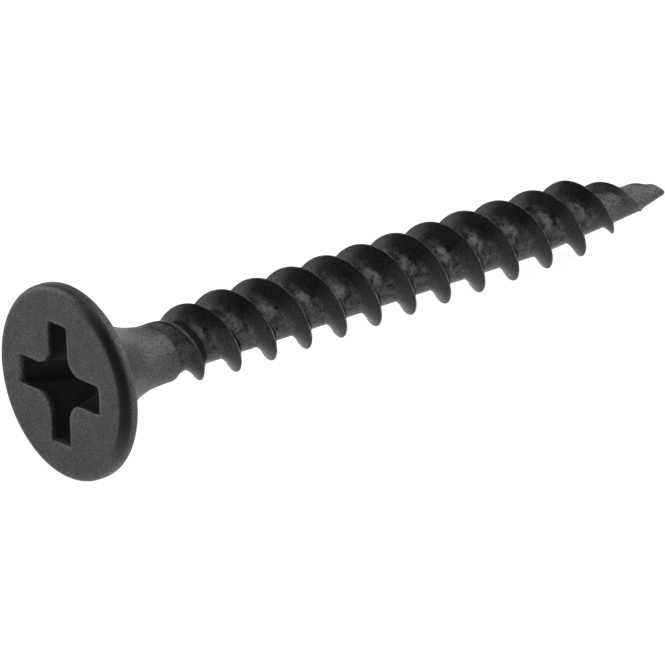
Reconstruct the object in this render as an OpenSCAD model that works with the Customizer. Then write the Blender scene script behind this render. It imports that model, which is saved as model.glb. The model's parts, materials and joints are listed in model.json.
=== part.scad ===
/* [Overall] */
// Length from the face of the head to the tip of the point
overall_l = 32; // [26:0.5:45]

/* [Head] */
// Widest diameter of the head, across its rim
head_d = 8.3; // [7.4:0.1:10]
// Height of the rim, from the face to where the hollow sweep begins
rim_h = 0.8; // [0.6:0.05:1.2]
// Width and height of the rounding between the face and the rim
face_ease_w = 0.34; // [0.1:0.02:0.5]
face_ease_h = 0.16; // [0.05:0.01:0.25]
// Radius of the corner on the back of the rim
back_corner_r = 0.22; // [0.05:0.01:0.3]
// Radius of the hollow, trumpet-shaped sweep under the head
bugle_r = 4.2; // [3.9:0.05:6]

/* [Cross recess] */
// Span of the cross on the face, from wing end to wing end
recess_span = 5.25; // [4.8:0.05:6]
// Width of a wing on the face
wing_w = 1.22; // [0.9:0.02:1.3]
// Depth of the recess to its pointed bottom
recess_depth = 2.7; // [2:0.05:3]
// Slope of the wing ends, from the axis, in degrees
wing_slope = 26.5; // [15:0.5:28]
// Draft of the wing sides, in degrees
wing_draft = 3; // [0:0.5:5]
// Radius of the four corners between the wings, on the face
wing_corner_r = 0.8; // [0.2:0.05:0.9]
// Radius of the corners at the wing ends, on the face
wing_end_r = 0.14; // [0.04:0.02:0.24]
// Turn of the cross about the screw's axis, in degrees
recess_roll = -10.7; // [-45:0.1:45]

/* [Neck] */
// Diameter of the plain neck
neck_d = 2.58; // [2.4:0.02:3]
// Length of the plain neck, from the end of the sweep
neck_l = 0.03; // [0.02:0.01:2]
// Length of the slope from the neck down to the root of the thread
neck_step_l = 0.25; // [0.1:0.05:0.5]

/* [Thread] */
// Diameter over the crests
thread_d = 3.5; // [3.2:0.05:4.2]
// Diameter at the root, between the crests
root_d = 2.06; // [1.7:0.02:2.3]
// Number of threads that start beside each other
starts = 2; // [1:1:3]
// Distance along the screw from one crest to the next
crest_pitch = 1.85; // [1.7:0.05:3]
// Distance from the end of the neck to where the crests rise out of it
crest_gap = 0.07; // [0.02:0.01:0.5]
// Length over which a crest rises to its full height, in turns
run_in_turns = 1.1; // [0.5:0.1:2]
// Width of the flat along the crest
crest_land = 0.06; // [0.03:0.01:0.15]
// Width of the flank that faces the head, along the screw
head_flank_w = 0.54; // [0.4:0.02:0.6]
// Width of the flank that faces the tip, along the screw
tip_flank_w = 0.46; // [0.3:0.02:0.7]
// Hollow of the flanks, as a share of the thread's height
flank_hollow = 0.1; // [0:0.02:0.2]
// Turn of the first thread's start about the axis, in degrees
thread_roll = 143; // [-180:1:180]

/* [Point] */
// Distance from the tip to where the root begins to narrow
root_taper_l = 7; // [5:0.5:10]
// Length of the cone at the tip
point_l = 1.7; // [1.4:0.1:2.5]
// Diameter where the cone at the tip begins
point_d = 1.26; // [1:0.02:1.5]
// Distance of the sharp point from the axis, towards the side that is not pinched
point_offset = 0.26; // [0.16:0.02:0.36]
// Radius of the rounding at the very end of the point
point_round_r = 0.09; // [0.04:0.01:0.12]
// Slope of the pinched flat at the tip, from the axis, in degrees
pinch_slope = 46; // [30:1:55]
// Turn of the pinched flat about the axis, in degrees
pinch_roll = 143; // [-180:1:180]
// Distance from the tip to where the crests begin to drop
crest_taper_l = 10; // [8:0.5:14]
// Distance from the tip to where the crests fall away
crest_fall_l = 4.9; // [4:0.5:8]
// Drop of the crests between those two places, on the radius
crest_drop = 0.11; // [0:0.01:0.3]
// Distance from the tip to where the crests sink into the cone
crest_end_l = 0.4; // [0.2:0.1:1.5]

/* [Hidden] */

// Facets of a full turn on round shapes, and of each turn of the thread
round_fn = 128;
turn_fn = 44;
// Facets of the whole ellipse that rounds the face's edge
ease_fn = 48;
// The most sections that the ridges may have in all, however long the screw is
most_sections = 820;
// Facets of each flank
flank_fn = 2;
// Facets of each rounded corner between the wings
corner_fn = 8;
// Facets of each corner at the wing ends
wing_end_fn = 3;
// Facets of the rounding at the point
point_fn = 6;
// How far a shape reaches into, or past, the one that it joins or cuts
overlap = 0.1;
// How far the thread's run-in lies below the neck's skin
skin = 0.01;
// Least radius of the cone's run-out past the tip, which the pinched flat takes off
run_out_r = 0.05;

head_r = head_d / 2;
neck_r = neck_d / 2;
root_r = root_d / 2;
thread_r = thread_d / 2;
point_r = point_d / 2;
lead = starts * crest_pitch;
full_h = thread_r - root_r;

// Centre of the sweep's arc, which meets the neck's side without a corner
bugle_centre_r = neck_r + bugle_r;
// Radius at which the sweep leaves the back of the rim
sweep_top_r = head_r - back_corner_r;
bugle_end = rim_h + sqrt(bugle_r * bugle_r - pow(bugle_centre_r - sweep_top_r, 2));
neck_end = bugle_end + neck_l;

// Stations along the screw, from the face
thread_start = neck_end + crest_gap;
bury_z = (recess_depth + neck_end) / 2;
point_z = overall_l - point_l;
root_taper_z = overall_l - root_taper_l;
crest_taper_z = overall_l - crest_taper_l;
crest_fall_z = overall_l - crest_fall_l;
crest_end_z = overall_l - crest_end_l;

// Land and flank on the tip's side of an unrisen crest, as shares of the room up to the next ridge
lead_in_land = 0.28;
lead_in_flank = 0.66;
// Turns over which they narrow to the crest's own
narrowing_turns = 0.45;
// Least width of a flank, as a share of its full width, where the crest sinks into the cone
least_share = 0.3;

function mix(a, b, t) = a + (b - a) * max(0, min(1, t));

// Radius of the root at a distance z from the face
function core_r(z) =
    z < root_taper_z ? root_r :
    z < point_z ? mix(root_r, point_r, (z - root_taper_z) / (point_z - root_taper_z)) :
    max(run_out_r, point_r + (point_offset - point_r) * (z - point_z) / point_l);

// Radius of the crests at a distance z from the face, where the thread is fully raised
function crest_line(z) =
    z < crest_fall_z ? mix(thread_r, thread_r - crest_drop, (z - crest_taper_z) / (crest_fall_z - crest_taper_z)) :
    z < crest_end_z ? mix(thread_r - crest_drop, core_r(crest_end_z), (z - crest_fall_z) / (crest_end_z - crest_fall_z)) :
    core_r(z);

// Share of its height that a crest has reached, t turns after it rises out of the neck
function risen(t) = 1 - pow(1 - max(0, min(1, t / run_in_turns)), 2);

// One ridge whose crest is at a distance z from the face, as points [radius, distance from the face]
function ridge(z) =
    let (
        t = (z - thread_start) / lead,
        crest_r = min(crest_line(z), mix(neck_r - skin, thread_r, risen(t))),
        rise = max(0, crest_r - core_r(z)),
        share = max(least_share, min(1, (crest_line(z) - core_r(z)) / full_h)),
        narrowed = t / narrowing_turns,
        land = crest_land / 2,
        room = crest_pitch - head_flank_w - land,
        tip_land = mix(lead_in_land * room, land, narrowed),
        tip_w = mix(lead_in_flank * room, tip_flank_w * share, narrowed)
    ) [
        for (side = [-1, 1], k = [0 : flank_fn])
            let (
                up = side < 0 ? k / flank_fn : 1 - k / flank_fn,
                w = side < 0 ? land + head_flank_w * share * (1 - up) : tip_land + tip_w * (1 - up),
                at = z + side * w
            ) [core_r(at) + rise * (up - 4 * flank_hollow * up * (1 - up)), at]
    ];

// The shank with all its ridges: a strip one lead wide, wound on from inside the head to past the tip
module wound_shank() {
    // The crest of the first thread at the strip's first and last section
    first_crest = bury_z - lead;
    last_crest = overall_l + crest_pitch;
    turns = (last_crest - first_crest) / lead;
    per_turn = min(turn_fn, floor(most_sections / starts / turns));
    steps = ceil(turns * per_turn);
    n = starts * len(ridge(first_crest));
    points = [
        for (i = [0 : steps], k = [0 : starts - 1])
            let (
                crest_z = first_crest + lead * i / per_turn,
                angle = thread_roll + 360 * (crest_z - thread_start) / lead
            )
                for (p = ridge(crest_z + crest_pitch * k)) [p[0] * cos(angle), p[0] * sin(angle), p[1]]
    ];
    // The far edge of the strip joins its near edge one turn further on
    across = [
        for (i = [0 : steps - 1], k = [0 : n - 1])
            if (k < n - 1 || i + per_turn < steps)
                let (a = i * n + k, b = k < n - 1 ? a + 1 : (i + per_turn) * n)
                    each [[a, b, b + n], [a, b + n, a + n]]
    ];
    begin_rim = concat([for (k = [0 : n - 1]) k], [for (i = [per_turn : -1 : 1]) i * n]);
    end_rim = concat(
        [for (i = [steps - per_turn : steps]) i * n + n - 1],
        [for (k = [n - 2 : -1 : 0]) steps * n + k]
    );
    begin = len(points);
    caps = [
        for (k = [0 : len(begin_rim) - 1]) [begin, begin_rim[(k + 1) % len(begin_rim)], begin_rim[k]],
        for (k = [0 : len(end_rim) - 1]) [begin + 1, end_rim[(k + 1) % len(end_rim)], end_rim[k]]
    ];
    polyhedron(
        concat(points, [[0, 0, first_crest + lead / 2], [0, 0, last_crest + lead / 2 - crest_pitch]]),
        concat(across, caps)
    );
}

// The threaded shank, cut level where it is buried in the neck
module threaded_shank() {
    below = 2 * lead;
    difference() {
        wound_shank();
        translate([-thread_d, -thread_d, bury_z - below])
            cube([2 * thread_d, 2 * thread_d, below]);
    }
}

// Half outline of the face, the rim and the hollow sweep down to the neck
module head_outline() {
    difference() {
        union() {
            translate([0, face_ease_h])
                square([head_r, rim_h - back_corner_r - face_ease_h]);
            square([head_r - face_ease_w, rim_h]);
            translate([head_r - face_ease_w, face_ease_h])
                scale([face_ease_w, face_ease_h])
                    circle(1, $fn = ease_fn);
            translate([head_r - back_corner_r, rim_h - back_corner_r])
                circle(back_corner_r, $fn = round_fn);
            translate([0, rim_h - overlap])
                square([sweep_top_r, bugle_end - rim_h + overlap]);
        }
        translate([bugle_centre_r, bugle_end])
            circle(bugle_r, $fn = round_fn);
    }
}

// Half outline of the neck and the slope at its end, which runs on into the threaded shank
module neck_outline() {
    slope_l = neck_step_l * (neck_r - root_r + overlap) / (neck_r - root_r);
    polygon([
        [0, rim_h],
        [neck_r, rim_h],
        [neck_r, neck_end],
        [root_r - overlap, neck_end + slope_l],
        [0, neck_end + slope_l]
    ]);
}

// The head and the neck, turned about the screw's axis
module head_and_neck() {
    rotate_extrude($fn = round_fn)
        union() {
            head_outline();
            neck_outline();
        }
}

// Outline of the cross at a share s of its depth, as points round the four wings
function cross_section(s) =
    let (
        depth = s * recess_depth,
        half_w = wing_w / 2 - depth * tan(wing_draft),
        reach = recess_span / 2 - depth * tan(wing_slope),
        end_r = wing_end_r * (1 - s / 2),
        r = wing_corner_r * (1 - s),
        centre = half_w + r
    ) [
        for (quarter = [0 : 3])
            let (turn = 90 * quarter)
                for (p = concat(
                    [for (side = [-1, 1], k = [0 : wing_end_fn])
                        let (a = (side < 0 ? -90 : 0) + 90 * k / wing_end_fn)
                            [reach - end_r + end_r * cos(a), side * (half_w - end_r) + end_r * sin(a)]],
                    [for (k = [0 : corner_fn])
                        let (a = 270 - 90 * k / corner_fn) [centre + r * cos(a), centre + r * sin(a)]]
                ))
                    [p[0] * cos(turn) - p[1] * sin(turn), p[0] * sin(turn) + p[1] * cos(turn)]
    ];

// The tapered punch that forms the cross recess
module cross_punch() {
    // Share of the depth at which the wings end and the pointed bottom begins
    wings_share = 0.82;
    mouth = cross_section(-overlap / recess_depth);
    bottom = cross_section(wings_share);
    n = len(mouth);
    points = concat(
        [for (p = mouth) [p[0], p[1], -overlap]],
        [for (p = bottom) [p[0], p[1], wings_share * recess_depth]],
        [[0, 0, -overlap], [0, 0, recess_depth]]
    );
    faces = [
        for (k = [0 : n - 1])
            let (a = k, b = (k + 1) % n)
                each [[a, b, 2 * n], [a, b + n, b], [a, a + n, b + n], [a + n, 2 * n + 1, b + n]]
    ];
    rotate([0, 0, recess_roll])
        polyhedron(points, faces);
}

// Slope of the cone at the tip, and the centre of the rounding that touches its side and its end
cone_slope = atan2(point_r - point_offset, point_l);
round_x = -point_offset + point_round_r * (1 / cos(cone_slope) - tan(cone_slope));
round_z = overall_l - point_round_r;

// What the pinching dies cut off the cone: a flat on one side, and a rounding at the end that is left
module pinched_off() {
    reach = 4 * point_l + 2 * lead;
    far_side = 180 - cone_slope;
    rounding = [
        for (k = [0 : point_fn])
            let (a = pinch_slope + (far_side - pinch_slope) * k / point_fn)
                [round_x + point_round_r * cos(a), round_z + point_round_r * sin(a)]
    ];
    flat_start = rounding[0] + reach * [sin(pinch_slope), -cos(pinch_slope)];
    rotate([0, 0, pinch_roll])
        rotate([90, 0, 0])
            translate([0, 0, -reach / 2])
                linear_extrude(reach)
                    polygon(concat(
                        [[reach, overall_l + reach], flat_start],
                        rounding,
                        [[-reach, rounding[point_fn][1]], [-reach, overall_l + reach]]
                    ));
}

// The screw about its own axis, with its face at zero and its tip upwards
module upright_screw() {
    difference() {
        head_and_neck();
        cross_punch();
    }
    difference() {
        threaded_shank();
        pinched_off();
    }
}

// Where each crest passes underneath, as distances from the face
under_crests = [
    for (i = [0 : starts - 1], n = [0 : ceil(overall_l / lead)])
        let (z = thread_start + lead * (n - (thread_roll + 360 * i / starts) / 360))
            if (z > overall_l / 2 && z < crest_end_z) z
];
// Slope at which the screw lies on the back corner of its rim and on its lowest crest
corner_z = rim_h - back_corner_r;
corner_r = head_r - back_corner_r;
rest_slope = min([
    for (z = under_crests)
        let (run = z - corner_z, rise = corner_r - crest_line(z))
            atan2(rise, run) + asin(back_corner_r / sqrt(run * run + rise * rise))
]);
// Height of the face's centre, and its distance from the middle of the length, as the screw lies
face_up = corner_z * sin(rest_slope) + corner_r * cos(rest_slope) + back_corner_r;
tip_forward = round_z * cos(rest_slope) + round_x * cos(pinch_roll) * sin(rest_slope) + point_round_r;
face_back = face_ease_h * cos(rest_slope) - (head_r - face_ease_w) * sin(rest_slope)
    - sqrt(pow(face_ease_h * cos(rest_slope), 2) + pow(face_ease_w * sin(rest_slope), 2));
face_x = -(tip_forward + face_back) / 2;

module screw() {
    color("#2b2c2e")
        translate([face_x, 0, face_up])
            rotate([0, 90 + rest_slope, 0])
                upright_screw();
}

screw();
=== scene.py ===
import json
import math

import bmesh
import bpy
from mathutils import Matrix, Vector


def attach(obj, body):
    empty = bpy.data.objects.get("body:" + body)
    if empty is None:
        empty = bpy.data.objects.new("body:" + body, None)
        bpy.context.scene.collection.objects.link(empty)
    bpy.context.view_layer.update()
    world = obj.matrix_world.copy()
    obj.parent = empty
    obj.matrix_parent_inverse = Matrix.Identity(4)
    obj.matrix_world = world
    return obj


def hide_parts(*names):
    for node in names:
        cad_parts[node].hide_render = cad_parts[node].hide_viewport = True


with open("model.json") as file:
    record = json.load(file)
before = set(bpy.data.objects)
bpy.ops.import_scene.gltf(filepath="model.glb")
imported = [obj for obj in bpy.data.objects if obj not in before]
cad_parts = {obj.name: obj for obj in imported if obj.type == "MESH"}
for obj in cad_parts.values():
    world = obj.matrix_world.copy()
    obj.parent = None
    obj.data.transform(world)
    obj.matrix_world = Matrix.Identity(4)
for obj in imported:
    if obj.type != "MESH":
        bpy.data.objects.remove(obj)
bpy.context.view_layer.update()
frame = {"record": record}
mm = 0.001

# The camera. The photograph was taken from far off and from above the head's side, with a long
# lens, so the screw lies across the picture from lower left to upper right.
view_azimuth = math.radians(-129.22)
view_elevation = math.radians(33.15)
view_roll = math.radians(0.74)
view_distance = 506.8 * mm
view_angle = math.radians(3.047)
aim = Vector((-6.34, -5.825, 5.931)) * mm

camera = bpy.data.objects.new("camera", bpy.data.cameras.new("camera"))
camera.data.sensor_fit = "HORIZONTAL"
camera.data.angle = view_angle
camera.data.clip_start = 10 * mm
camera.data.clip_end = 20
towards = Vector((
    math.cos(view_elevation) * math.cos(view_azimuth),
    math.cos(view_elevation) * math.sin(view_azimuth),
    math.sin(view_elevation),
))
turn = (-towards).to_track_quat("-Z", "Y").to_matrix() @ Matrix.Rotation(view_roll, 3, "Z")
camera.matrix_world = Matrix.Translation(aim + towards * view_distance) @ turn.to_4x4()
bpy.context.collection.objects.link(camera)
bpy.context.scene.camera = camera


# The screw's head and neck. A wire of mild steel is cut to length, and two blows in a die upset its
# end into the bugle head and punch the cross recess into the face, here a little off the centre.
recess_mount = next(m for m in frame["record"]["mounts"] if m["name"] == "driver_recess")
outward = Vector(recess_mount["axis"])
dip = math.atan2(outward.z, -outward.x)
lie = Matrix.Translation(recess_mount["pos_m"]) @ Matrix.Rotation(math.pi / 2 + dip, 4, "Y")

head_r = 8.3 * mm / 2
rim_h = 0.8 * mm
face_ease_l = 0.32 * mm
face_ease_w = 0.34 * mm
back_corner_r = 0.22 * mm
bugle_r = 4.2 * mm
neck_r = 2.58 * mm / 2
neck_l = 0.1 * mm
neck_step_l = 0.25 * mm
neck_step_r = 0.9 * mm
recess_span = 5.25 * mm
recess_depth = 2.7 * mm
recess_roll = math.radians(-10.7)
recess_off = Vector((0.1, 0.165)) * mm
wing_w = 1.22 * mm
wing_slope = math.radians(26.5)
wing_draft = math.radians(3)
wing_corner_r = 0.8 * mm
wing_end_r = 0.14 * mm
least_corner_r = 0.02 * mm
wings_share = 0.82
lip_r = 0.08 * mm

bugle_centre_r = neck_r + bugle_r
sweep_top_r = head_r - back_corner_r
bugle_end = rim_h + math.sqrt(bugle_r**2 - (bugle_centre_r - sweep_top_r) ** 2)
neck_end = bugle_end + neck_l


def clamp(share):
    """A share kept between 0 and 1."""
    return max(0, min(1, share))


def direction(angle):
    """The direction across the screw at an angle about its axis."""
    return Vector((math.cos(angle), math.sin(angle)))


# The neck's end leans: it lies further from the face on one side than on the other.
askew = 0.42 * mm
askew_towards = direction(math.radians(-73))
askew_start = neck_end - 0.9 * mm

# How finely the curves are drawn.
wing_end_steps = 4
wing_side_steps = 6
wing_corner_steps = 16
lip_steps = 4
face_ease_steps = 8
rim_steps = 3
back_corner_steps = 6
bugle_steps = 32


def arc(centre, radius, start, end, steps):
    """Points on an arc, angles in degrees."""
    angles = [math.radians(start + (end - start) * i / steps) for i in range(steps + 1)]
    return [(centre[0] + radius * math.cos(a), centre[1] + radius * math.sin(a)) for a in angles]


def line(a, b, steps):
    """Points strictly between a and b."""
    shares = [i / steps for i in range(1, steps)]
    return [(a[0] + (b[0] - a[0]) * s, a[1] + (b[1] - a[1]) * s) for s in shares]


def cross_outline(depth, grown=0.0):
    """The cross at a depth below the face, with its outline moved outward by grown."""
    share = depth / recess_depth
    half_w = wing_w / 2 - depth * math.tan(wing_draft) + grown
    reach = recess_span / 2 - depth * math.tan(wing_slope) + grown
    end_r = wing_end_r * (1 - share / 2) + grown
    between_r = max(least_corner_r, wing_corner_r * (1 - share) - grown)
    centre = half_w + between_r
    quarter = (
        arc((reach - end_r, end_r - half_w), end_r, -90, 0, wing_end_steps)
        + line((reach, end_r - half_w), (reach, half_w - end_r), wing_side_steps)
        + arc((reach - end_r, half_w - end_r), end_r, 0, 90, wing_end_steps)
        + line((reach - end_r, half_w), (centre, half_w), wing_side_steps)
        + arc((centre, centre), between_r, 270, 180, wing_corner_steps)
        + line((half_w, centre), (half_w, reach - end_r), wing_side_steps)
    )
    points = []
    for k in range(4):
        turned = Matrix.Rotation(recess_roll + math.pi / 2 * k, 2)
        points += [turned @ Vector(p) + recess_off for p in quarter]
    return points


def ring(radius, z):
    """A round ring with one point beside each point of the cross, leaning near the neck's end."""
    share = clamp((z - askew_start) / (neck_end - askew_start))
    lean = askew * share**2 * (3 - 2 * share)
    around = [p.normalized() for p in cross_outline(0)]
    return [(*(p * radius), z + lean * p.dot(askew_towards)) for p in around]


# Rings from the recess's bottom up its walls, over its lip and the face, and down to the neck's end.
head_rings = []
for share in (1, 0.85, 0.7, 0.55, 0.4, 0.25, 0.12):
    depth = wings_share * recess_depth * share
    head_rings.append([(*p, depth) for p in cross_outline(depth)])
for k in range(lip_steps + 1):
    a = math.pi / 2 * k / lip_steps
    depth = lip_r * (1 - math.sin(a))
    grown = lip_r * (1 - math.cos(a))
    head_rings.append([(*p, depth) for p in cross_outline(depth, grown)])
face_ring = len(head_rings)
lip = cross_outline(0, lip_r)
face_edge = head_r - face_ease_w
for share in (0.15, 0.4, 0.7, 0.93, 0.974):
    head_rings.append([(*(p.lerp(p.normalized() * face_edge, share)), 0) for p in lip])
eased = arc((0, 0), 1, -90, 0, face_ease_steps)
profile = [(face_edge + face_ease_w * x, face_ease_l * (1 + y)) for x, y in eased]
profile += line((head_r, face_ease_l), (head_r, rim_h - back_corner_r), rim_steps)
profile += arc((sweep_top_r, rim_h - back_corner_r), back_corner_r, 0, 90, back_corner_steps)
sweep_start = math.degrees(math.acos((sweep_top_r - bugle_centre_r) / bugle_r))
profile += arc((bugle_centre_r, bugle_end), bugle_r, -sweep_start, -180, bugle_steps)[1:]
profile.append((neck_r, neck_end))
head_rings += [ring(r, z) for r, z in profile]
head_rings.append(ring(neck_step_r, neck_end + neck_step_l))
neck_end_ring = len(head_rings) - 2

# A dark, matt band of painted shade lies on the rim's rounding, on one side of the head, and the face
# is a little darker than the sweep.
shade_band_towards = direction(math.radians(-118))
shade_band_start = face_edge - 0.1 * mm
shade_band_end = 0.45 * mm
shade_band_fade = 0.15 * mm
shade_band_least_cosine = 0.5
shade_band_cosine_fade = 0.4
face_darkening = 0.3

bm = bmesh.new()
# Layers: wear and painted highlight, rubbed patches, depth in the recess (painted shade at the lip,
# painted light deep down), the rim's painted shade band, and a darker coat with painted shade in the
# neck's crease.
wear_and_highlight = bm.verts.layers.float.new("wear_and_highlight")
rubbed = bm.verts.layers.float.new("rubbed")
in_recess = bm.verts.layers.float.new("in_recess")
rim_painted_shade = bm.verts.layers.float.new("rim_painted_shade")
darker_coat_and_crease_shade = bm.verts.layers.float.new("darker_coat_and_crease_shade")
rows = [[bm.verts.new(p) for p in points] for points in head_rings]
for i, points in enumerate(rows):
    for vert in points:
        depth = vert.co.z
        # Depth share in the recess: it paints shade at the lip and light deep down.
        if i < face_ring:
            vert[in_recess] = depth / recess_depth
        elif depth < rim_h:
            reached = (vert.co.xy.length - shade_band_start) / shade_band_fade
            left = (shade_band_end - depth) / shade_band_fade
            cosine = vert.co.xy.normalized().dot(shade_band_towards)
            beside = (cosine - shade_band_least_cosine) / shade_band_cosine_fade
            vert[rim_painted_shade] = clamp(min(reached, left, beside))
            vert[darker_coat_and_crease_shade] = face_darkening * clamp(1 - reached)
        # The neck's end and its step get full darkening: painted shade in the crease where the thread
        # starts.
        elif i >= neck_end_ring:
            vert[darker_coat_and_crease_shade] = 1.0
pit = bm.verts.new((*recess_off, recess_depth))
pit[in_recess] = 1.0
plug = bm.verts.new((0, 0, neck_end + neck_step_l))
count = len(rows[0])
for k in range(count):
    nxt = (k + 1) % count
    bm.faces.new((pit, rows[0][nxt], rows[0][k]))
    for near, far in zip(rows, rows[1:]):
        bm.faces.new((near[k], near[nxt], far[nxt], far[k]))
    bm.faces.new((plug, rows[-1][k], rows[-1][nxt]))


# The threaded shank. The neck end of the blank stays plain, and flat dies roll two threads, side by
# side, up from the rest of the wire; pinching dies cut the point off sharp on one side.
overall_l = 32 * mm
thread_r = 3.5 * mm / 2
root_r = 2.06 * mm / 2
starts = 2
crest_pitch = 1.85 * mm
lead = starts * crest_pitch
thread_start = neck_end
run_in_turns = 1.1
crest_land = 0.05 * mm
crest_round = 0.02 * mm
crest_round_share = 0.2
head_flank_w = 0.56 * mm
tip_flank_w = 0.48 * mm
flank_power = 1.32
thread_roll = math.radians(143)
root_taper_z = overall_l - 7 * mm
point_l = 1.7 * mm
point_z = overall_l - point_l
point_r = 1.26 * mm / 2
point_offset = 0.26 * mm
run_out_r = 0.05 * mm
pinch_slope = math.radians(46)
pinch_roll = math.radians(143)
crest_taper_z = overall_l - 10 * mm
crest_fall_z = overall_l - 4.9 * mm
crest_end_z = overall_l - 0.4 * mm
crest_drop = 0.11 * mm
skin = 0.01 * mm
least_share = 0.3
# Land and flank on the tip's side where a ridge starts, as shares of the room up to the next one,
# and the turns over which they narrow.
lead_in_land = 0.28
lead_in_flank = 0.66
narrowing_turns = 0.45
# Where the points of a ridge's section lie, as shares of its flanks and its land.
flank_shares = (0, 0.06, 0.16, 0.3, 0.46, 0.62, 0.78, 0.9, 0.975)
land_shares = (-1, -0.55, 0, 0.55, 1)


def mix(a, b, t):
    """A value between a and b, by the share t."""
    return a + (b - a) * clamp(t)


def core_r(z):
    """Radius of the root at a distance z from the face."""
    if z < root_taper_z:
        return root_r
    if z < point_z:
        return mix(root_r, point_r, (z - root_taper_z) / (point_z - root_taper_z))
    return max(run_out_r, point_r + (point_offset - point_r) * (z - point_z) / point_l)


def crest_line(z):
    """Radius of the crests at a distance z from the face, where they are fully raised."""
    dropped_r = thread_r - crest_drop
    if z < crest_fall_z:
        return mix(thread_r, dropped_r, (z - crest_taper_z) / (crest_fall_z - crest_taper_z))
    if z < crest_end_z:
        fallen = (z - crest_fall_z) / (crest_end_z - crest_fall_z)
        return mix(dropped_r, core_r(crest_end_z), fallen)
    return core_r(z)


def ridge(z):
    """One ridge whose crest is at z, as points (radius, distance from the face), with its root."""
    t = (z - thread_start) / lead
    risen = 1 - (1 - clamp(t / run_in_turns)) ** 2
    crest = min(crest_line(z), mix(neck_r - skin, thread_r, risen))
    rise = max(0, crest - core_r(z))
    share = max(least_share, min(1, (crest_line(z) - core_r(z)) / (thread_r - root_r)))
    land = crest_land / 2
    room = crest_pitch - head_flank_w - land
    tip_land = mix(lead_in_land * room, land, t / narrowing_turns)
    head_w = head_flank_w * share
    tip_w = mix(lead_in_flank * room, tip_flank_w * share, t / narrowing_turns)
    round_off = min(crest_round, crest_round_share * rise)
    flank_h = rise - round_off
    points = [(z - land - head_w * (1 - s), s**flank_power * flank_h) for s in flank_shares]
    for s in land_shares:
        points.append((z + (land if s < 0 else tip_land) * s, rise - round_off * s * s))
    for s in reversed(flank_shares):
        points.append((z + tip_land + tip_w * (1 - s), s**flank_power * flank_h))
    return [(core_r(at) + up, at) for at, up in points]


# Wear and painted highlight: the crests are rubbed bare along the head's side of their land, with a
# painted highlight on the same lines; the roots and the run-in in patches, and the point, which the
# dies didn't roll, is as light as the neck.
crest_wear_and_highlight = (0.7, 1, 0.7)
crest_wear_and_highlight_turns = 0.9
least_wear_and_highlight_rise = 0.2 * mm
root_rub_h = 0.25 * mm
plain_turns = 0.135
darkening_turns = 0.18
run_in_rub = 0.3
run_in_wear = 0.5
point_bare_l = 4.2 * mm
point_fade_l = 2.1 * mm
point_unrubbed = 0.8
point_ridge_share = 0.3
least_ridge_rise = 0.05 * mm

per_turn = 96
first_crest = -lead
last_crest = overall_l + crest_pitch
steps = math.ceil((last_crest - first_crest) / lead * per_turn)
strip = []
for i in range(steps + 1):
    crest_z = first_crest + lead * i / per_turn
    angle = thread_roll + 2 * math.pi * (crest_z - thread_start) / lead
    section = []
    for k in range(starts):
        ridge_z = crest_z + crest_pitch * k
        turns_on = (ridge_z - thread_start) / lead
        started = clamp(turns_on / crest_wear_and_highlight_turns)
        rolled = clamp((turns_on - plain_turns) / darkening_turns)
        for n, (r, z) in enumerate(ridge(ridge_z)):
            vert = bm.verts.new((r * math.cos(angle), r * math.sin(angle), z))
            rise = r - core_r(z)
            on_point = clamp((z - overall_l + point_bare_l) / point_fade_l)
            low_down = clamp(1 - rise / root_rub_h) * (1 - point_unrubbed * on_point)
            on_land = n - len(flank_shares)
            if on_land < 0:
                vert[wear_and_highlight] = run_in_wear * (1 - rolled)
                vert[rubbed] = mix(run_in_rub, low_down, rolled)
                vert[darker_coat_and_crease_shade] = rolled - on_point
            else:
                # Light lines on the crests' land: bare wear and painted highlight.
                if on_land < len(crest_wear_and_highlight) and rise > least_wear_and_highlight_rise:
                    vert[wear_and_highlight] = crest_wear_and_highlight[on_land] * started**2
                vert[rubbed] = low_down * started
                vert[darker_coat_and_crease_shade] = 1 - on_point * (1 if rise < least_ridge_rise else point_ridge_share)
            section.append(vert)
    strip.append(section)
shank = {v for section in strip for v in section}
width = len(strip[0])
for i in range(steps):
    here, on = strip[i], strip[i + 1]
    for k in range(width - 1):
        bm.faces.new((here[k], on[k], on[k + 1], here[k + 1]))
    if i + per_turn < steps:
        bm.faces.new((here[-1], on[-1], strip[i + per_turn + 1][0], strip[i + per_turn][0]))

# The strip is cut off inside the neck, and the pinching dies' flat is cut across the cone, with a
# small rounding at its end that is worn bare and carries a painted highlight.
buried_z = (recess_depth + neck_end) / 2
point_round_r = 0.09 * mm
point_round_steps = 5
point_wear_and_highlight_l = 0.36 * mm
cone_slope = math.atan2(point_r - point_offset, point_l)
far_side = math.pi - cone_slope
round_x = point_round_r / math.cos(cone_slope) - point_round_r * math.tan(cone_slope) - point_offset
round_centre = Vector((round_x, 0, overall_l - point_round_r))
pinch = Matrix.Rotation(pinch_roll, 3, "Z")
cuts = [(Vector((0, 0, buried_z)), Vector((0, 0, -1)))]
for k in range(point_round_steps):
    slant = pinch_slope + (far_side - pinch_slope) * k / point_round_steps
    facing = Vector((math.cos(slant), 0, math.sin(slant)))
    cuts.append((pinch @ (round_centre + facing * point_round_r), pinch @ facing))
for point, normal in cuts:
    geom = [v for v in bm.verts if v in shank]
    geom += [e for e in bm.edges if e.verts[0] in shank]
    geom += [f for f in bm.faces if f.verts[0] in shank]
    cut = bmesh.ops.bisect_plane(bm, geom=geom, plane_co=point, plane_no=normal, clear_outer=True)
    edges = [e for e in cut["geom_cut"] if isinstance(e, bmesh.types.BMEdge)]
    bmesh.ops.holes_fill(bm, edges=edges, sides=0)
    cut_verts = {v for e in edges for v in e.verts}
    shank = {v for v in shank if v.is_valid} | cut_verts
    # The point's rounding: bare wear and painted highlight.
    for vert in cut_verts:
        if normal.z > 0 and overall_l - vert.co.z < point_wear_and_highlight_l:
            vert[wear_and_highlight] = 1.0

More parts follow.
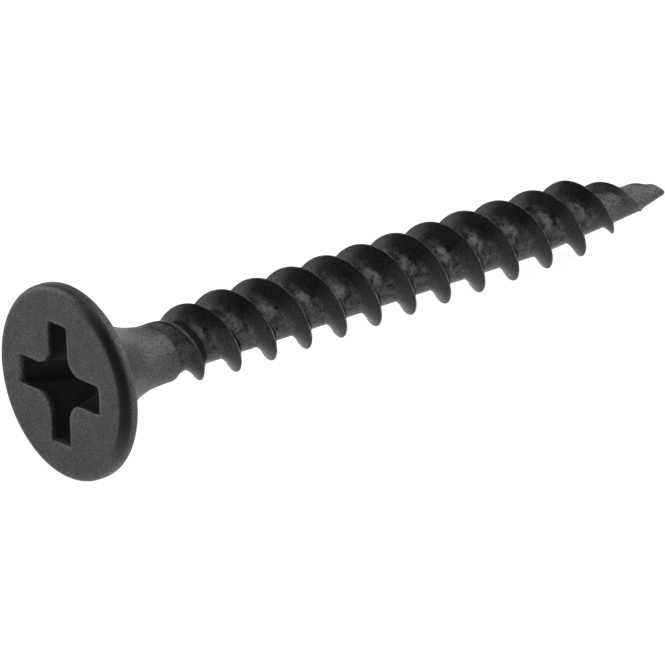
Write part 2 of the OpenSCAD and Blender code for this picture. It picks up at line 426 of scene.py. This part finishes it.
sharp_angle = math.radians(38)
bmesh.ops.recalc_face_normals(bm, faces=bm.faces)
bm.transform(lie)
mesh = bpy.data.meshes.new("screw")
bm.to_mesh(mesh)
bm.free()
mesh.shade_smooth()
mesh.set_sharp_from_angle(angle=sharp_angle)
screw = bpy.data.objects.new("drywall_screw", mesh)
bpy.context.collection.objects.link(screw)


def linear(code):
    """An sRGB hex colour as linear numbers."""
    parts = [int(code[i : i + 2], 16) / 255 for i in (1, 3, 5)]
    return tuple(c / 12.92 if c <= 0.04045 else ((c + 0.055) / 1.055) ** 2.4 for c in parts) + (1,)


def add_node(tree, kind, settings, inputs):
    """Adds a node with its properties. Each input, by name or number, gets a value or a link."""
    node = tree.nodes.new(kind)
    for name, value in settings.items():
        setattr(node, name, value)
    for key, value in inputs.items():
        if isinstance(value, bpy.types.NodeSocket):
            tree.links.new(value, node.inputs[key])
        else:
            node.inputs[key].default_value = value
    return node


# Black phosphated steel: crystals grown on the steel in a hot bath, then a trace of oil. It gives the
# eye a matt charcoal with a fine grain and soft clouds, smoother and darker where the dies rolled the
# thread, and greyer where the coat is rubbed thin on crests, roots, run-in and point. Painted light
# and
# shade come on top: highlight along the crests and the point's rounding, shade in a band on the rim,
# in the crease at the neck's end and at the recess's lip, and light deep in the recess. The real
# crystals, about 0.01 mm, are drawn at 0.085 mm, as fine as the picture can show.
crystal = 0.085 * mm
patch = 0.34 * mm
cloud = 1.1 * mm
relief_h = 0.014 * mm
phosphate = bpy.data.materials.new("black_phosphated_steel")
phosphate.use_nodes = True
tree = phosphate.node_tree
shader = tree.nodes["Principled BSDF"]
place = add_node(tree, "ShaderNodeTexCoord", {}, {}).outputs["Object"]
finish = {}
for name in ("rubbed", "wear_and_highlight", "darker_coat_and_crease_shade", "in_recess", "rim_painted_shade"):
    layer = add_node(tree, "ShaderNodeAttribute", {"attribute_name": name}, {})
    finish[name] = layer.outputs["Fac"]
# Each pattern by its size, detail and roughness.
patterns = {"grain": (crystal, 2.0, 0.7), "patches": (patch, 5.0, 0.72), "clouds": (cloud, 3.0, 0.6)}
noises = {}
for name, (size, detail, roughness) in patterns.items():
    pattern = add_node(
        tree,
        "ShaderNodeTexNoise",
        {},
        {"Vector": place, "Scale": 1 / size, "Detail": detail, "Roughness": roughness},
    )
    noises[name] = pattern.outputs["Fac"]

# The coat's charcoal, in the grain of its crystals.
coat = add_node(
    tree, "ShaderNodeMapRange", {}, {"Value": noises["grain"], "From Min": 0.34, "From Max": 0.66}
)
charcoal = add_node(
    tree,
    "ShaderNodeMixRGB",
    {},
    {"Fac": coat.outputs["Result"], "Color1": linear("#333435"), "Color2": linear("#545657")},
)
# Lighter and darker clouds, darker rolled surfaces and face, painted shade in the crease at the
# neck's end, and dark pits where the coat is rubbed.
cloudy = add_node(
    tree,
    "ShaderNodeMapRange",
    {},
    {"Value": noises["clouds"], "From Min": 0.3, "From Max": 0.7, "To Min": 0.8, "To Max": 1.2},
)
darker = add_node(
    tree, "ShaderNodeMapRange", {}, {"Value": finish["darker_coat_and_crease_shade"], "To Min": 1.0, "To Max": 0.34}
)
coat_tone = add_node(
    tree,
    "ShaderNodeMath",
    {"operation": "MULTIPLY"},
    {0: cloudy.outputs["Result"], 1: darker.outputs["Result"]},
)
pits = add_node(
    tree,
    "ShaderNodeMapRange",
    {},
    {"Value": noises["patches"], "From Min": 0.36, "From Max": 0.46, "To Min": 0.4, "To Max": 1.0},
)
pitted = add_node(
    tree, "ShaderNodeMix", {}, {"Factor": finish["rubbed"], "A": 1.0, "B": pits.outputs["Result"]}
)
pitted_tone = add_node(
    tree,
    "ShaderNodeMath",
    {"operation": "MULTIPLY"},
    {0: coat_tone.outputs[0], 1: pitted.outputs["Result"]},
)
shaded = add_node(
    tree,
    "ShaderNodeVectorMath",
    {"operation": "SCALE"},
    {"Vector": charcoal.outputs["Color"], "Scale": pitted_tone.outputs[0]},
)
# Grey patches where the coat is rubbed thin.
spotty = add_node(
    tree, "ShaderNodeMapRange", {}, {"Value": noises["patches"], "From Min": 0.4, "From Max": 0.7}
)
thin = add_node(
    tree,
    "ShaderNodeMath",
    {"operation": "MULTIPLY"},
    {0: finish["rubbed"], 1: spotty.outputs["Result"]},
)
patched = add_node(
    tree,
    "ShaderNodeMixRGB",
    {},
    {"Fac": thin.outputs[0], "Color1": shaded.outputs["Vector"], "Color2": linear("#525354")},
)
# Bare steel and painted highlight in broken lines along the crests and at the tip.
broken = add_node(
    tree,
    "ShaderNodeMapRange",
    {},
    {"Value": noises["patches"], "From Min": 0.4, "From Max": 0.65, "To Min": 0.15, "To Max": 1.0},
)
edge_wear_and_highlight = add_node(
    tree,
    "ShaderNodeMath",
    {"operation": "MULTIPLY"},
    {0: finish["wear_and_highlight"], 1: broken.outputs["Result"]},
)
edged = add_node(
    tree,
    "ShaderNodeMixRGB",
    {},
    {"Fac": edge_wear_and_highlight.outputs[0], "Color1": patched.outputs["Color"], "Color2": linear("#7a7b7c")},
)
# The painted shade band on the rim, and the recess's walls, with painted shade at the lip and painted
# light where they are deep.
rim_shaded = add_node(
    tree,
    "ShaderNodeMixRGB",
    {},
    {"Fac": finish["rim_painted_shade"], "Color1": edged.outputs["Color"], "Color2": linear("#1e1f20")},
)
recess_shade_and_light = add_node(
    tree,
    "ShaderNodeMixRGB",
    {},
    {"Fac": finish["in_recess"], "Color1": linear("#121313"), "Color2": linear("#747575")},
)
inside = add_node(
    tree, "ShaderNodeMapRange", {}, {"Value": finish["in_recess"], "From Min": 0.02, "From Max": 0.1}
)
deep = add_node(
    tree,
    "ShaderNodeMixRGB",
    {},
    {
        "Fac": inside.outputs["Result"],
        "Color1": rim_shaded.outputs["Color"],
        "Color2": recess_shade_and_light.outputs["Color"],
    },
)
tree.links.new(deep.outputs["Color"], shader.inputs["Base Color"])

# Roughness: uneven with the clouds, smoother where rolled, matt on the rim's painted shade band and
# in the recess.
uneven = add_node(
    tree,
    "ShaderNodeMapRange",
    {},
    {"Value": noises["clouds"], "From Min": 0.3, "From Max": 0.7, "To Min": 0.36, "To Max": 0.48},
)
smoother = add_node(
    tree, "ShaderNodeMapRange", {}, {"Value": finish["darker_coat_and_crease_shade"], "To Min": 1.0, "To Max": 0.8}
)
rough = add_node(
    tree,
    "ShaderNodeMath",
    {"operation": "MULTIPLY"},
    {0: uneven.outputs["Result"], 1: smoother.outputs["Result"]},
)
matt_rim = add_node(
    tree, "ShaderNodeMix", {}, {"Factor": finish["rim_painted_shade"], "A": rough.outputs[0], "B": 0.55}
)
matt_recess = add_node(
    tree,
    "ShaderNodeMix",
    {},
    {"Factor": inside.outputs["Result"], "A": matt_rim.outputs["Result"], "B": 0.9},
)
tree.links.new(matt_recess.outputs["Result"], shader.inputs["Roughness"])
shader.inputs["Metallic"].default_value = 0.8
shader.inputs["Specular Tint"].default_value = linear("#e8e8e8")
relief = add_node(
    tree,
    "ShaderNodeMath",
    {"operation": "MULTIPLY_ADD"},
    {0: noises["patches"], 1: 1.6, 2: noises["grain"]},
)
bump = add_node(
    tree,
    "ShaderNodeBump",
    {},
    {"Strength": 0.5, "Distance": relief_h, "Height": relief.outputs[0]},
)
tree.links.new(bump.outputs["Normal"], shader.inputs["Normal"])
mesh.materials.append(phosphate)

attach(screw, "root")
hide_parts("screw")


# The surroundings: an opal sheet lit from below, as for pictures on a white ground, in a dim grey
# tent, with a broad soft light low on the right, a small one off the point, one behind and a large
# weak one overhead.
floor_half = 3.0
floor_gap = 0.002 * mm
floor_z = min(v.co.z for v in mesh.vertices) - floor_gap
floor_mesh = bpy.data.meshes.new("floor")
corners = [(x * floor_half, y * floor_half, floor_z) for x, y in ((-1, -1), (1, -1), (1, 1), (-1, 1))]
floor_mesh.from_pydata(corners, [], [(0, 1, 2, 3)])
floor = bpy.data.objects.new("floor", floor_mesh)
bpy.context.collection.objects.link(floor)
opal = bpy.data.materials.new("opal_acrylic")
opal.use_nodes = True
sheet = opal.node_tree.nodes["Principled BSDF"]
sheet.inputs["Base Color"].default_value = linear("#909090")
sheet.inputs["Roughness"].default_value = 0.8
sheet.inputs["Emission Color"].default_value = linear("#ffffff")
sheet.inputs["Emission Strength"].default_value = 0.94
floor_mesh.materials.append(opal)

world = bpy.data.worlds.new("tent")
world.use_nodes = True
world.node_tree.nodes["Background"].inputs["Color"].default_value = linear("#ffffff")
world.node_tree.nodes["Background"].inputs["Strength"].default_value = 0.3
bpy.context.scene.world = world

light_distance = 0.6


def soft_light(name, azimuth, elevation, size, power):
    """A round soft light turned to the screw."""
    lamp = bpy.data.objects.new(name, bpy.data.lights.new(name, "AREA"))
    lamp.data.shape = "DISK"
    lamp.data.size = size
    lamp.data.energy = power
    across = direction(math.radians(azimuth)) * math.cos(math.radians(elevation))
    lamp.location = Vector((*across, math.sin(math.radians(elevation)))) * light_distance
    lamp.rotation_euler = (-lamp.location).to_track_quat("-Z", "Y").to_euler()
    bpy.context.collection.objects.link(lamp)


soft_light("right_light", azimuth=-20, elevation=33, size=0.75, power=2.8)
soft_light("point_light", azimuth=28, elevation=15, size=0.35, power=0.45)
soft_light("back_light", azimuth=115, elevation=16, size=0.5, power=1.4)
soft_light("roof_light", azimuth=0, elevation=90, size=1.0, power=0.8)
bpy.context.scene.view_settings.view_transform = "Standard"
